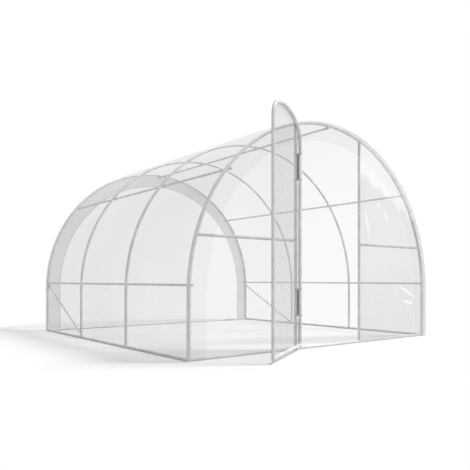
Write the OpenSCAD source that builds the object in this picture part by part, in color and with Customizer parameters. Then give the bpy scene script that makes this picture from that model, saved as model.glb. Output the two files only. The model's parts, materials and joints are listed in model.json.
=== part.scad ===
// Polytunnel greenhouse: four tube hoops under a film cover, with a film door on a tube frame.
// Origin on the ground at the middle of the footprint, +Y along the tunnel, door end at -Y.

/* [Hoops] */
// Width from leg to leg, between the tube centres
span = 3000; // [2400:50:3600]
// Height of the straight part of each leg
leg_h = 500; // [400:10:700]
// Distance from one hoop to the next
bay_l = 1000; // [800:10:1300]
// Diameter of the hoop tube
hoop_d = 25; // [23:1:32]

/* [Rails] */
// Diameter of the purlins, side rails and braces
rail_d = 19; // [15:1:22]
// Angle of the shoulder purlins from the crown
purlin_angle = 49; // [35:1:60]
// Height of the side rails above the straight legs
side_rail_rise = 63; // [40:1:150]
// Diameter of the base rails
base_d = 22; // [16:1:24]
// Height of the base rails above the ground
base_lift = 1; // [0.5:0.5:4]
// Length of a purlin clamp along the hoop
clamp_w = 16; // [12:1:24]
// How much narrower a purlin clamp is than the hoop tube
clamp_inset = 1; // [0.5:0.5:4]
// Wall of a purlin clamp
clamp_wall = 2; // [1.5:0.5:5]
// Distance of a clamp's lips below the middle of the hoop tube
clamp_lip = 5; // [4.5:0.5:8]
// Web of a clamp between the hoop and the purlin
clamp_web = 2; // [1.5:0.5:5]
// Height of the brace's lower bolt above the ground
brace_low_z = 20; // [16:1:120]
// Distance from the side rail down to the brace's upper bolt
brace_drop = 30; // [28:1:80]
// Width of the flattened brace end
brace_tab_w = 24; // [20:1:30]
// Thickness of the flattened brace end
brace_tab_t = 4; // [3:0.5:6]
// Length of the flattened brace end
brace_tab_l = 34; // [26:1:60]

/* [Doorway] */
// Distance between the door posts, between the tube centres
doorway_w = 852; // [700:1:1000]
// Distance of the doorway's middle to the right of the tunnel's middle
doorway_shift = 24; // [-40:1:40]
// Diameter of the door posts
post_d = 25; // [23:1:32]
// Diameter of the crossbars beside the doorway
crossbar_d = 25; // [18:1:28]
// Height of the crossbars
crossbar_z = 940; // [800:10:1200]

/* [Door] */
// Width of the leaf, between the tube centres
leaf_w = 850; // [700:10:1000]
// Diameter of the leaf's tube
leaf_d = 25; // [20:1:28]
// Height of the open end of the leaf's stiles
leaf_z0 = 30; // [27:1:60]
// Height of the bottom rail above the stile ends
bottom_rail_rise = 16; // [14:1:40]
// Distance of the leaf's head below the crown of the hoop
head_drop = 53; // [40:1:90]
// Radius of the leaf's arched head
head_r = 1050; // [800:10:1500]
// Radius of the leaf's upper corners
corner_r = 140; // [60:5:180]
// Angle at which the door stands open
open_angle = 148; // [0:1:165]

/* [Hinges] */
// Sideways distance from the post to the hinge axis
hinge_dx = 20; // [14:1:45]
// Forward distance from the post to the hinge axis
hinge_dy = 40; // [38:1:55]
// Height of each hinge
hinge_h = 240; // [120:5:300]
// Height of the middle of the lower hinge
lower_hinge_z = 408; // [300:1:600]
// Distance of the upper hinge's middle below the leaf's corner
upper_hinge_drop = 190; // [180:5:600]
// Thickness of the hinge plate
hinge_t = 5; // [3:0.5:8]
// Height of a hinge collar
collar_h = 12; // [10:1:40]
// Wall of a hinge collar
collar_wall = 2; // [1.5:0.5:4]
// Height of the stop ring that the leaf hangs on
ring_h = 6; // [5:1:15]
// How far the stop ring stands out beyond the collar
ring_proud = 1; // [0.5:0.5:3]

/* [Film] */
// Thickness of the film
film_t = 2; // [1:0.5:3]
// Length of the cover beyond each end hoop
overhang = 44; // [20:1:80]
// Width of the turned-in margin at each end
margin_w = 170; // [100:5:250]
// Height of the film's lower edge above the ground
film_z0 = 3; // [1:1:20]

/* [Clearances] */
// Gap between pieces that seat on each other
seat = 0.3; // [0.1:0.05:0.4]
// Radial gap between the leaf's stile and its collars
run_gap = 0.08; // [0.02:0.01:0.1]
// Free space kept round a moving piece
move_gap = 6; // [5:0.5:10]
// Gap between the hinge plate and the turning stile
plate_gap = 1; // [0.5:0.1:2]

/* [Hidden] */
$fn = 96;
hoop_r = span / 2;
outer_r = hoop_r + hoop_d / 2;
cover_r = outer_r + seat;
bays = 3;
hoop_y = [for (i = [0 : bays]) (i - bays / 2) * bay_l];
front_y = hoop_y[0];
back_y = hoop_y[bays];
sides = [-1, 1];
// How far a cut starts outside the piece it cuts
over = 1;
// How far a coped tube stops short of the hoop's middle line
cope = 1;

purlin_drop = (hoop_d + rail_d) / 2 + clamp_web;
purlin_r = hoop_r - purlin_drop;
clamp_l = hoop_d - clamp_inset;
side_rail_angle = acos(side_rail_rise / purlin_r);
base_z = base_d / 2 + base_lift;

function post_x(side) = doorway_shift + side * doorway_w / 2;
function post_top(side) = leg_h + sqrt(pow(hoop_r, 2) - pow(post_x(side), 2)) - cope;
crossbar_end = sqrt(pow(hoop_r, 2) - pow(crossbar_z - leg_h, 2)) - cope;

brace_top_z = leg_h + side_rail_rise - brace_drop;
brace_over = max(0, brace_top_z + brace_tab_w / 2 - leg_h);
arch_lean = hoop_r - sqrt(pow(hoop_r, 2) - pow(brace_over, 2));
brace_x = hoop_r - arch_lean - hoop_d / 2 - seat - brace_tab_t / 2;
brace_run = hoop_y[bays] - hoop_y[bays - 1];
brace_rise = brace_top_z - brace_low_z;
brace_l = norm([brace_run, brace_rise]);
brace_angle = atan2(brace_rise, brace_run);

hinge_x = post_x(-1) + hinge_dx;
hinge_y = front_y - hinge_dy;
hinge_reach = norm([hinge_dx, hinge_dy]);
hinge_turn = atan2(-hinge_dy, hinge_dx);
ring_r = leaf_d / 2 + collar_wall + ring_proud;
ring_lift = hinge_h / 2 + seat;
notch_x = leaf_d / 2 + collar_wall + move_gap;

head_top = leg_h + hoop_r - head_drop;
head_z = head_top - head_r;
bend_z = head_z + sqrt(pow(head_r - corner_r, 2) - pow(leaf_w / 2 - corner_r, 2));
bend_angle = atan2(bend_z - head_z, leaf_w / 2 - corner_r);
bottom_rail_z = leaf_z0 + bottom_rail_rise;
upper_hinge_z = bend_z - upper_hinge_drop;
hinge_zs = [lower_hinge_z, upper_hinge_z];

panel_y = front_y - hoop_d / 2 - seat;
margin_y = panel_y - film_t - seat;
cover_l = back_y - front_y + 2 * overhang;
strip_angle = 45;

tube_grey = [0.80, 0.81, 0.82];
hinge_grey = [0.42, 0.43, 0.44];
film_white = [0.93, 0.95, 0.96, 0.45];

// A round bar along +X from x0 to x1
module bar_x(x0, x1, d) {
  translate([x0, 0, 0]) rotate([0, 90, 0]) cylinder(d = d, h = x1 - x0);
}

// A round bar along +Y from y0 to y1
module bar_y(y0, y1, d) {
  translate([0, y0, 0]) rotate([-90, 0, 0]) cylinder(d = d, h = y1 - y0);
}

// A flat outline drawn in X and Z, with its thickness towards -Y
module upright(t) {
  rotate([90, 0, 0]) linear_extrude(height = t) children();
}

// A round bar bent to a radius in the XZ plane, from angle a0 to a1 above +X
module bent_bar(r, d, a0, a1) {
  rotate([90, 0, 0]) rotate([0, 0, a0]) rotate_extrude(angle = a1 - a0, $fn = 360)
    translate([r, 0]) circle(d = d, $fn = 96);
}

// Hoops

module leg_bore(x, y) {
  translate([x, y, -over]) cylinder(r = hoop_d / 2 + seat, h = leg_h);
}

module arch_bore() {
  translate([0, front_y, leg_h]) bent_bar(hoop_r, hoop_d + 2 * seat, 0, 180);
}

module hoop_legs(i) {
  color(tube_grey) for (side = sides)
    translate([side * hoop_r, hoop_y[i], 0]) cylinder(d = hoop_d, h = leg_h);
}

module hoop_arch(i) {
  color(tube_grey) translate([0, hoop_y[i], leg_h]) bent_bar(hoop_r, hoop_d, 0, 180);
}

// Base rails, with ends hollowed to fit the legs and posts

module side_base_rail(side) {
  color(tube_grey) for (i = [0 : bays - 1]) difference() {
    translate([side * hoop_r, 0, base_z]) bar_y(hoop_y[i], hoop_y[i + 1], base_d);
    leg_bore(side * hoop_r, hoop_y[i]);
    leg_bore(side * hoop_r, hoop_y[i + 1]);
  }
}

module post_bore(side) {
  translate([post_x(side), front_y, -over])
    cylinder(r = post_d / 2 + seat, h = post_top(side));
}

module side_rail_bore(side) {
  translate([side * hoop_r, 0, base_z])
    bar_y(front_y - base_d, back_y + base_d, base_d + 2 * seat);
}

module front_base_rail() {
  color(tube_grey) for (side = sides) difference() {
    translate([0, front_y, base_z])
      bar_x(min(post_x(side), side * hoop_r), max(post_x(side), side * hoop_r), base_d);
    leg_bore(side * hoop_r, front_y);
    side_rail_bore(side);
    post_bore(side);
  }
}

module door_threshold() {
  color(tube_grey) difference() {
    translate([0, front_y, base_z]) bar_x(post_x(-1), post_x(1), base_d);
    post_bore(-1);
    post_bore(1);
  }
}

module back_base_rail() {
  color(tube_grey) difference() {
    translate([0, back_y, base_z]) bar_x(-hoop_r, hoop_r, base_d);
    for (side = sides) {
      leg_bore(side * hoop_r, back_y);
      side_rail_bore(side);
    }
  }
}

// Purlins, side rails and the clamps that hold them under the hoops

module under_hoop(angle) {
  translate([0, 0, leg_h]) rotate([0, angle, 0]) translate([0, 0, purlin_r]) children();
}

module purlin(angle) {
  color(tube_grey) under_hoop(angle)
    bar_y(front_y - clamp_l / 2, back_y + clamp_l / 2, rail_d);
}

module clamp() {
  difference() {
    union() {
      bar_y(-clamp_l / 2, clamp_l / 2, rail_d + 2 * clamp_wall);
      translate([-clamp_w / 2, -clamp_l / 2, 0])
        cube([clamp_w, clamp_l, purlin_drop - clamp_lip]);
    }
    bar_y(-clamp_l, clamp_l, rail_d + 2 * seat);
    translate([0, 0, purlin_drop]) bar_x(-clamp_w, clamp_w, hoop_d + 2 * seat);
  }
}

module clamps(angles) {
  color(tube_grey) for (y = hoop_y) for (angle = angles)
    under_hoop(angle) translate([0, y, 0]) clamp();
}

// Braces in the back bay, with flattened ends bolted to the legs

module brace_tab() {
  translate([-brace_tab_t / 2, 0, 0]) rotate([0, 90, 0]) linear_extrude(height = brace_tab_t) {
    circle(d = brace_tab_w);
    translate([-brace_tab_w / 2, 0]) square([brace_tab_w, brace_tab_l]);
  }
  hull() {
    translate([-brace_tab_t / 2, brace_tab_l - over, -brace_tab_w / 2])
      cube([brace_tab_t, over, brace_tab_w]);
    bar_y(brace_tab_l + rail_d, brace_tab_l + rail_d + over, rail_d, $fn = 32);
  }
}

module brace() {
  brace_tab();
  translate([0, brace_l, 0]) mirror([0, 1, 0]) brace_tab();
  bar_y(brace_tab_l + rail_d, brace_l - brace_tab_l - rail_d, rail_d);
}

module side_braces() {
  color(tube_grey) for (side = sides)
    translate([side * brace_x, hoop_y[bays - 1], brace_low_z]) rotate([brace_angle, 0, 0]) brace();
}

// Door posts and crossbars in the front end

module door_post(side) {
  color(tube_grey) difference() {
    translate([post_x(side), front_y, 0]) cylinder(d = post_d, h = post_top(side));
    arch_bore();
  }
}

module front_crossbars() {
  color(tube_grey) for (side = sides) difference() {
    translate([0, front_y, crossbar_z])
      bar_x(min(post_x(side), side * crossbar_end), max(post_x(side), side * crossbar_end),
            crossbar_d);
    post_bore(side);
    arch_bore();
  }
}

// Hinges: a plate between the post and the stile, with collars round both

module hinge_plate_outline(reach) {
  rotate(hinge_turn) translate([0, -hinge_t / 2]) square([reach, hinge_t]);
}

module collar_outline() {
  difference() {
    union() {
      circle(r = post_d / 2 + collar_wall);
      translate([hinge_dx, -hinge_dy]) circle(r = leaf_d / 2 + collar_wall);
      hinge_plate_outline(hinge_reach);
    }
    circle(r = post_d / 2 + seat);
    translate([hinge_dx, -hinge_dy]) circle(r = leaf_d / 2 + run_gap);
  }
}

module plate_outline() {
  difference() {
    hinge_plate_outline(hinge_reach - leaf_d / 2 - plate_gap);
    circle(r = post_d / 2 + seat);
  }
}

module hinge(z) {
  color(hinge_grey) translate([post_x(-1), front_y, z - hinge_h / 2]) {
    for (low = [0, hinge_h - collar_h]) translate([0, 0, low])
      linear_extrude(height = collar_h) collar_outline();
    translate([0, 0, collar_h]) linear_extrude(height = hinge_h - 2 * collar_h) plate_outline();
  }
}

// Door leaf, drawn closed along +X from its hinge axis and then swung open

module swung() {
  translate([hinge_x, hinge_y, 0]) rotate([0, 0, -open_angle]) children();
}

module stile() {
  translate([0, 0, leaf_z0]) cylinder(d = leaf_d, h = bend_z - leaf_z0);
}

module door_hinge_stile() {
  color(tube_grey) swung() {
    stile();
    for (z = hinge_zs) translate([0, 0, z + ring_lift]) cylinder(r = ring_r, h = ring_h);
  }
}

module door_free_stile() {
  color(tube_grey) swung() translate([leaf_w, 0, 0]) stile();
}

module door_head() {
  color(tube_grey) swung() translate([leaf_w / 2, 0, head_z])
    bent_bar(head_r, leaf_d, bend_angle, 180 - bend_angle);
}

module door_hinge_corner() {
  color(tube_grey) swung() translate([corner_r, 0, bend_z])
    bent_bar(corner_r, leaf_d, 180 - bend_angle, 180);
}

module door_free_corner() {
  color(tube_grey) swung() translate([leaf_w - corner_r, 0, bend_z])
    bent_bar(corner_r, leaf_d, 0, bend_angle);
}

module door_bottom_rail() {
  color(tube_grey) swung() difference() {
    translate([0, 0, bottom_rail_z]) bar_x(0, leaf_w, leaf_d);
    for (x = [0, leaf_w]) translate([x, 0, 0]) cylinder(r = leaf_d / 2 + seat, h = bend_z);
  }
}

module corner_waste() {
  reach = 2 * corner_r;
  difference() {
    polygon([[0, 0], [-reach, reach * tan(bend_angle)], [-reach, 0]]);
    circle(r = corner_r);
  }
}

module leaf_outline() {
  difference() {
    intersection() {
      translate([0, bottom_rail_z]) square([leaf_w, head_top]);
      union() {
        translate([leaf_w / 2, head_z]) circle(r = head_r, $fn = 256);
        square([leaf_w, bend_z]);
      }
    }
    translate([corner_r, bend_z]) corner_waste();
    translate([leaf_w - corner_r, bend_z]) mirror([1, 0]) corner_waste();
    for (z = hinge_zs) translate([-over, z - hinge_h / 2 - move_gap])
      square([notch_x + over, hinge_h + ring_h + 2 * move_gap]);
  }
}

module door_film() {
  color(film_white) swung() translate([0, -leaf_d / 2 - seat, 0]) upright(film_t) leaf_outline();
}

// Film cover over the hoops, in strips that meet edge to edge

module cover_wall(side) {
  wall_x = min(side * cover_r, side * (cover_r + film_t));
  color(film_white) translate([wall_x, front_y - overhang, film_z0])
    cube([film_t, cover_l, leg_h - film_z0]);
}

module cover_strip(number) {
  color(film_white) translate([0, back_y + overhang, leg_h]) rotate([90, 0, 0])
    rotate([0, 0, number * strip_angle]) rotate_extrude(angle = strip_angle)
      translate([cover_r, 0]) square([film_t, cover_l]);
}

// End films, outside the end hoops

module end_outline() {
  intersection() {
    translate([0, leg_h]) circle(r = outer_r, $fn = 256);
    translate([-outer_r, leg_h]) square([2 * outer_r, outer_r]);
  }
  translate([-outer_r, film_z0]) square([2 * outer_r, leg_h - film_z0]);
}

module front_film(side) {
  panel_x = side < 0 ? -outer_r : post_x(1);
  panel_w = outer_r - side * post_x(side);
  notch_w = post_d / 2 + collar_wall + move_gap;
  color(film_white) translate([0, panel_y, 0]) upright(film_t) difference() {
    intersection() {
      end_outline();
      translate([panel_x, 0]) square([panel_w, leg_h + outer_r]);
    }
    if (side < 0) for (z = hinge_zs)
      translate([post_x(side) - notch_w, z - hinge_h / 2 - move_gap])
        square([notch_w + over, hinge_h + 2 * move_gap]);
  }
}

module back_film() {
  color(film_white) translate([0, -panel_y + film_t, 0]) upright(film_t) end_outline();
}

module end_margin() {
  translate([0, 0, leg_h]) rotate([90, 0, 0]) rotate_extrude(angle = 180)
    translate([outer_r - margin_w, 0]) square([margin_w, film_t]);
  for (side = sides)
    translate([min(side * outer_r, side * (outer_r - margin_w)), -film_t, film_z0])
      cube([margin_w, film_t, leg_h - film_z0 - seat]);
}

module front_margin() {
  color(film_white) translate([0, margin_y, 0]) end_margin();
}

module back_margin() {
  color(film_white) translate([0, -margin_y + film_t, 0]) end_margin();
}

hoop_legs(0);  // front_hoop_legs
hoop_arch(0);  // front_hoop_arch
hoop_legs(1);  // second_hoop_legs
hoop_arch(1);  // second_hoop_arch
hoop_legs(2);  // third_hoop_legs
hoop_arch(2);  // third_hoop_arch
hoop_legs(3);  // back_hoop_legs
hoop_arch(3);  // back_hoop_arch
side_base_rail(-1);  // left_base_rail
side_base_rail(1);  // right_base_rail
front_base_rail();
door_threshold();
back_base_rail();
purlin(-side_rail_angle);  // left_side_rail
purlin(side_rail_angle);  // right_side_rail
purlin(0);  // ridge_purlin
purlin(-purlin_angle);  // left_purlin
purlin(purlin_angle);  // right_purlin
clamps([-purlin_angle, 0, purlin_angle]);  // purlin_clamps
clamps([-side_rail_angle, side_rail_angle]);  // side_rail_clamps
side_braces();
door_post(-1);  // left_door_post
door_post(1);  // right_door_post
front_crossbars();
hinge(upper_hinge_z);  // upper_hinge
hinge(lower_hinge_z);  // lower_hinge
door_hinge_stile();
door_free_stile();
door_hinge_corner();
door_free_corner();
door_head();
door_bottom_rail();
door_film();
cover_wall(-1);  // cover_left_wall
cover_strip(3);  // cover_left_shoulder
cover_strip(2);  // cover_left_crown
cover_strip(1);  // cover_right_crown
cover_strip(0);  // cover_right_shoulder
cover_wall(1);  // cover_right_wall
front_film(-1);  // front_left_film
front_film(1);  // front_right_film
front_margin();
back_film();
back_margin();
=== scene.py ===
# %% [markdown]
# # A polytunnel greenhouse in film and galvanised tube
# The frame brings the tunnel's hoops, rails, posts, clamps, hinges and door leaf as solids in metres, with
# +Z up and the door end at -Y. This lesson leaves those where they are, gives them a finish, and makes what
# solids can't show well: the film with its swell, pleats and creases, and the small fittings on the tubes.

# %% Load the frame
import json
import math

import bmesh
import bpy
import numpy as np
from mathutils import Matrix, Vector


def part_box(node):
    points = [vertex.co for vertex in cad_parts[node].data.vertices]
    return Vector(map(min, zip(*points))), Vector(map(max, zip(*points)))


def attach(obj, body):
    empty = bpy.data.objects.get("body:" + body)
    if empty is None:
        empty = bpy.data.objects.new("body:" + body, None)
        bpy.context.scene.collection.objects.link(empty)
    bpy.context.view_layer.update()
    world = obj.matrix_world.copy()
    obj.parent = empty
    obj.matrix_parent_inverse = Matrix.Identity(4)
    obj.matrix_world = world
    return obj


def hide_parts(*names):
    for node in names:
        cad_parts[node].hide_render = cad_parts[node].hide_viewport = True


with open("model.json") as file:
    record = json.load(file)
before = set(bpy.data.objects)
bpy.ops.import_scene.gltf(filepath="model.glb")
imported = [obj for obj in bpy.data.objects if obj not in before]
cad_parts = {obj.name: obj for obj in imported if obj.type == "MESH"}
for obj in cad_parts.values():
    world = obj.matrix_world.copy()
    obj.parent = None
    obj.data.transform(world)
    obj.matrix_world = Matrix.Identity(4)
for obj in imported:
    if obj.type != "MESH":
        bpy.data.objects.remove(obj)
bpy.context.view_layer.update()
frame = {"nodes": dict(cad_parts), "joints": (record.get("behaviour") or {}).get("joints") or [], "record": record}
nodes = frame["nodes"]

# %% [markdown]
# Every size below comes from the frame. A hoop is two straight legs under a half circle, so the arch's box
# gives its radius and tube, the legs give the height where the bend starts, and the four arches give the
# places of the hoops along the tunnel. Reading boxes keeps the film on the tubes if the frame changes.

# %% Read the sizes


def low_high(node):
    """Lowest and highest corner of a node's box, as two arrays."""
    low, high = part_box(node)
    return np.array(low), np.array(high)


def middle(node):
    """Middle of a node's box."""
    return np.mean(low_high(node), axis=0)


def corners(node):
    """All mesh points of a node, as an array."""
    mesh = nodes[node].data
    points = np.empty(3 * len(mesh.vertices))
    mesh.vertices.foreach_get("co", points)
    return points.reshape(-1, 3)


arch_low, arch_high = low_high("front_hoop_arch")
TUBE_R = (arch_high[1] - arch_low[1]) / 2
HOOP_R = arch_high[0] - TUBE_R
OUTER_R = arch_high[0]
SPRING_Z = low_high("front_hoop_legs")[1][2]
HOOP_Y = np.array([middle(f"{place}_hoop_arch")[1] for place in ("front", "second", "third", "back")])
POST_XS = [middle(f"{place}_door_post")[0] for place in ("left", "right")]
CROSSBAR_Z = middle("front_crossbars")[2]
PURLINS = [middle(f"{place}_purlin")[[0, 2]] for place in ("left", "ridge", "right")]
SIDE_RAILS = [middle(f"{place}_side_rail")[[0, 2]] for place in ("left", "right")]
RAIL_R = np.ptp(low_high("ridge_purlin"), axis=0)[2] / 2
FILM_Z0 = low_high("cover_left_wall")[0][2]
COVER_R = np.abs([low_high("cover_left_wall")[i][0] for i in (0, 1)]).mean()
MARGIN_Y = middle("front_margin")[1]
COVER_END = low_high("cover_left_wall")[1][1]
margin_x, _, margin_z = corners("front_margin").T
MARGIN_W = OUTER_R - np.hypot(margin_x, margin_z - SPRING_Z)[margin_z > SPRING_Z].min()
print(f"hoops of radius {HOOP_R:.3f} m at {np.round(HOOP_Y, 2)}, tube {2000 * TUBE_R:.0f} mm")

# %% [markdown]
# All new pieces are grids: an array of points with two directions, turned into a mesh by joining each point
# to its neighbours. One helper does that for every surface, closes it where it runs round a tube, and keeps
# numbers per point, such as how many layers of film lie there, as attributes for the material.

# %% Grids become meshes


def grid_faces(rows, columns, round_columns=False):
    """Corner numbers of the quads between neighbours of a rows x columns grid, going round where asked."""
    index = np.arange(rows * columns).reshape(rows, columns)
    if round_columns:
        index = np.hstack([index, index[:, :1]])
    corner_blocks = [index[:-1, :-1], index[1:, :-1], index[1:, 1:], index[:-1, 1:]]
    return np.stack(corner_blocks, axis=-1).reshape(-1, 4)


def point_outwards(mesh):
    """Turns the faces of closed shapes so that their normals point out."""
    shell = bmesh.new()
    shell.from_mesh(mesh)
    bmesh.ops.recalc_face_normals(shell, faces=shell.faces)
    shell.to_mesh(mesh)
    shell.free()


def mesh_piece(name, points, blocks, body, material, slot, solid=False, **layers):
    """An object at the origin from points and blocks of faces, riding on a body, with its finish; slot is not
    used.
    """
    mesh = bpy.data.meshes.new(name)
    faces = [face for block in blocks for face in block.tolist()]
    mesh.from_pydata(points.reshape(-1, 3).tolist(), [], faces)
    if solid:
        point_outwards(mesh)
    mesh.polygons.foreach_set("use_smooth", np.full(len(mesh.polygons), not solid))
    for layer, values in layers.items():
        attribute = mesh.attributes.new(layer, "FLOAT", "POINT")
        attribute.data.foreach_set("value", np.ascontiguousarray(values, dtype=np.float32).ravel())
    mesh.update()
    piece = bpy.data.objects.new(name, mesh)
    bpy.context.scene.collection.objects.link(piece)
    piece.data.materials.append(material)
    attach(piece, body)
    print(f"{name}: {len(mesh.polygons)} faces on {body}")
    return piece


# %% [markdown]
# ## Finishes
# The tubes are galvanised steel: pale grey, a little cloudy, and mostly dull oxide. The hinges are dark
# plastic plates between pale steel collars. A short helper wires nodes together so that each finish reads
# as a recipe. Colour and roughness vary with noise in Object coordinates, because every object sits at the
# origin and the pattern then stays put on the piece.

# %% Node helpers


class Recipe:
    """A material being wired: a Principled shader and short calls that add nodes before it."""

    def __init__(self, name):
        self.material = bpy.data.materials.new(name)
        self.material.use_nodes = True
        self.tree = self.material.node_tree
        self.shader = self.tree.nodes["Principled BSDF"]
        self.object_place = self.tree.nodes.new("ShaderNodeTexCoord").outputs["Object"]

    def set(self, **values):
        """Sets sockets of the shader by name, with underscores for spaces."""
        for name, value in values.items():
            self.feed(self.shader.inputs[name.replace("_", " ")], value)

    def feed(self, socket, value):
        """Links a socket to another, or gives it a constant."""
        if isinstance(value, bpy.types.NodeSocket):
            self.tree.links.new(value, socket)
        else:
            socket.default_value = value

    def noise(self, scale, detail=3.0):
        """Cloudy values from 0 to 1 in Object coordinates; scale is waves per metre."""
        cloud = self.tree.nodes.new("ShaderNodeTexNoise")
        cloud.inputs["Scale"].default_value = scale
        cloud.inputs["Detail"].default_value = detail
        self.feed(cloud.inputs["Vector"], self.object_place)
        return cloud.outputs["Fac"]

    def math(self, operation, first, second=0.0, clamp=False):
        """One arithmetic step on values or sockets."""
        step = self.tree.nodes.new("ShaderNodeMath")
        step.operation = operation
        step.use_clamp = clamp
        self.feed(step.inputs[0], first)
        self.feed(step.inputs[1], second)
        return step.outputs["Value"]

    def ramp(self, value, low, high, colour_low, colour_high):
        """Blends two colours as value goes from low to high."""
        ramp = self.tree.nodes.new("ShaderNodeValToRGB")
        first, last = ramp.color_ramp.elements
        first.position, first.color = low, (*colour_low, 1.0)
        last.position, last.color = high, (*colour_high, 1.0)
        self.feed(ramp.inputs["Fac"], value)
        return ramp.outputs["Color"]

    def between(self, value, low, high):
        """Spreads a value from 0 to 1 over the range low to high."""
        spread = self.tree.nodes.new("ShaderNodeMapRange")
        self.feed(spread.inputs["Value"], value)
        spread.inputs["To Min"].default_value = low
        spread.inputs["To Max"].default_value = high
        return spread.outputs["Result"]

    def layer(self, name):
        """The number that a piece keeps for each point under this name."""
        attribute = self.tree.nodes.new("ShaderNodeAttribute")
        attribute.attribute_name = name
        return attribute.outputs["Fac"]

    def bump(self, height, strength, distance):
        """Small relief from a height socket."""
        relief = self.tree.nodes.new("ShaderNodeBump")
        relief.inputs["Strength"].default_value = strength
        relief.inputs["Distance"].default_value = distance
        self.feed(relief.inputs["Height"], height)
        self.feed(self.shader.inputs["Normal"], relief.outputs["Normal"])


# %% Steel and plastic
# Waves per metre of each pattern, then the range of it that counts, or the strength and depth of its relief
ZINC_CLOUDS, ZINC_FROM, ZINC_TO = 9.0, 0.35, 0.68
GLOSS_PATCHES = 60.0
PEEL, PEEL_STRENGTH, PEEL_DEPTH = 420.0, 0.12, 0.0004
MOTTLE, MOTTLE_FROM, MOTTLE_TO = 25.0, 0.3, 0.7
SATIN_PATCHES, SATIN_RANGE = 130.0, 0.06
GRAIN, GRAIN_DEPTH = 900.0, 0.0005


def metal(name, dark, light, metallic, rough_low, rough_high):
    """Galvanised or zinc plated steel: cloudy colour, patchy gloss and a faint orange-peel relief."""
    recipe = Recipe(name)
    recipe.set(
        Base_Color=recipe.ramp(recipe.noise(ZINC_CLOUDS, 4.0), ZINC_FROM, ZINC_TO, dark, light),
        Metallic=metallic,
        Roughness=recipe.between(recipe.noise(GLOSS_PATCHES, 2.0), rough_low, rough_high),
    )
    recipe.bump(recipe.noise(PEEL, 2.0), PEEL_STRENGTH, PEEL_DEPTH)
    return recipe.material


def plastic(name, dark, light, rough, grain):
    """Moulded plastic: nearly even colour with a fine grain."""
    recipe = Recipe(name)
    recipe.set(
        Base_Color=recipe.ramp(recipe.noise(MOTTLE), MOTTLE_FROM, MOTTLE_TO, dark, light),
        Roughness=recipe.between(recipe.noise(SATIN_PATCHES), rough - SATIN_RANGE, rough + SATIN_RANGE),
    )
    recipe.bump(recipe.noise(GRAIN, 2.0), grain, GRAIN_DEPTH)
    return recipe.material


# A hinge's box gives only its whole height, so the height of its collars repeats the part's own 12 mm
COLLAR_H = 0.012
HINGE_ROUGH = 0.48
HINGE_GRAIN = 0.2
HINGE_ZS = [tuple(end[2] for end in low_high(f"{place}_hinge")) for place in ("lower", "upper")]


def banded_hinge(name, dark, light, band):
    """Dark plastic, and pale steel wherever the height lies in a collar at the top or bottom of a hinge."""
    recipe = Recipe(name)
    apart = recipe.tree.nodes.new("ShaderNodeSeparateXYZ")
    recipe.feed(apart.inputs["Vector"], recipe.object_place)
    off_middle = 1.0
    for low, high in HINGE_ZS:
        from_middle = recipe.math("SUBTRACT", apart.outputs["Z"], (low + high) / 2)
        away = recipe.math("ABSOLUTE", from_middle)
        past_plate = recipe.math("GREATER_THAN", away, (high - low) / 2 - COLLAR_H)
        off_middle = recipe.math("MULTIPLY", off_middle, past_plate)
    plate = recipe.ramp(recipe.noise(MOTTLE), MOTTLE_FROM, MOTTLE_TO, dark, light)
    finish = recipe.tree.nodes.new("ShaderNodeMixRGB")
    recipe.feed(finish.inputs["Fac"], off_middle)
    recipe.feed(finish.inputs["Color1"], plate)
    recipe.feed(finish.inputs["Color2"], (*band, 1.0))
    satin = recipe.between(recipe.noise(SATIN_PATCHES), HINGE_ROUGH - SATIN_RANGE, HINGE_ROUGH + SATIN_RANGE)
    recipe.set(Base_Color=finish.outputs["Color"], Roughness=satin)
    recipe.bump(recipe.noise(GRAIN, 2.0), HINGE_GRAIN, GRAIN_DEPTH)
    return recipe.material


tube_steel = metal("galvanised_tube", (0.74, 0.75, 0.76), (0.90, 0.91, 0.92), 0.2, 0.58, 0.76)
clamp_steel = metal("zinc_clamp", (0.74, 0.75, 0.76), (0.88, 0.89, 0.90), 0.2, 0.56, 0.72)
bolt_steel = metal("bright_bolt", (0.72, 0.72, 0.72), (0.84, 0.84, 0.83), 0.5, 0.3, 0.42)
hinge_plastic = banded_hinge("dark_hinge", (0.12, 0.12, 0.13), (0.17, 0.17, 0.18), (0.60, 0.61, 0.62))
clip_plastic = plastic("white_clip", (0.78, 0.79, 0.79), (0.86, 0.86, 0.86), 0.35, 0.1)
cap_plastic = plastic("grey_cap", (0.74, 0.75, 0.76), (0.82, 0.83, 0.84), 0.42, 0.15)

SLOT_FINISH = {"tube_steel": tube_steel, "clamp_steel": clamp_steel, "hinge_plastic": hinge_plastic}
for row in frame["record"]["subparts"]:
    if row["material_slot"] in SLOT_FINISH:
        piece = nodes[row["node"]]
        piece.data.materials.clear()
        piece.data.materials.append(SLOT_FINISH[row["material_slot"]])
print("finishes:", sorted(SLOT_FINISH))

# %% [markdown]
# The film is clear polyethylene. One layer dims what lies behind it by about a tenth, more where it is seen
# at a slant because the way through it is longer. A folded hem turns white. Where highlights fall, a painted
# highlight makes the film white, opaque and mirror-like. It could be glass with refraction, but a film a
# fifth of a millimetre thick bends nothing, so see-through by Alpha is truer and lets the sun through to the
# floor. The way through the film is one over the cosine of the slant, up to a limit, because a very slanted
# film mirrors more than it hides.

# %% Film
LAYER_HAZE = 0.10
HAZE_RANGE = 0.2
MOST_HAZE = 0.9
HAZE_CLOUDS = 1.7
HEM_HAZE = 0.55
LOWEST_COSINE = 0.4
SHINE_RISE = 4.0
FILM_GREY = (0.44, 0.45, 0.46)
HEM_WHITE = (0.97, 0.97, 0.97)
WHITE_FROM, WHITE_TO = 0.05, 0.4
GLOSS_CLOUDS, GLOSS_LOW, GLOSS_HIGH = 6.0, 0.22, 0.34


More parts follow.
